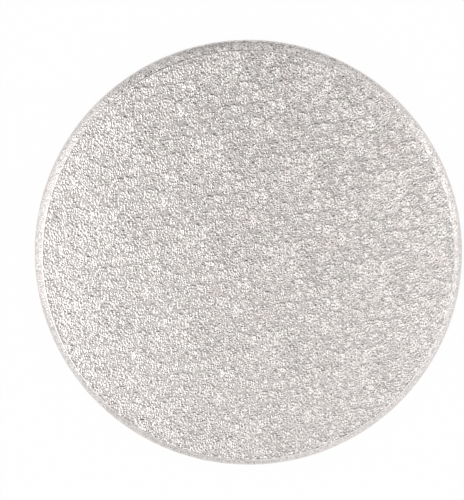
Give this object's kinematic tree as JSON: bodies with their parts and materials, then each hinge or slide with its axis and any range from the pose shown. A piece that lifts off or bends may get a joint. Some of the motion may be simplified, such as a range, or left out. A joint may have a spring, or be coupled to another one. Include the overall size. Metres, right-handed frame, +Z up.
{
  "type": "round cake board",
  "caption": "Round, stiff cake board wrapped in embossed silver foil, with a rounded shoulder and a plain paper underside.",
  "frame": {"origin": "centre of the underside, on the surface that the board lies on", "axes": "+Z up through the middle of the board, out of the face that carries the cake; X and Y lie in the board"},
  "size_m": [0.254, 0.254, 0.012],
  "materials": {
    "silver_foil": "bright silver foil paper, finely embossed all over with small fans of strokes",
    "greyboard": "matte grey recycled board",
    "white_paper": "matte off-white paper"
  },
  "bodies": {
    "root": {"foil_cover": "silver_foil", "board_core": "greyboard", "backing_paper": "white_paper"}
  },
  "joints": []
}
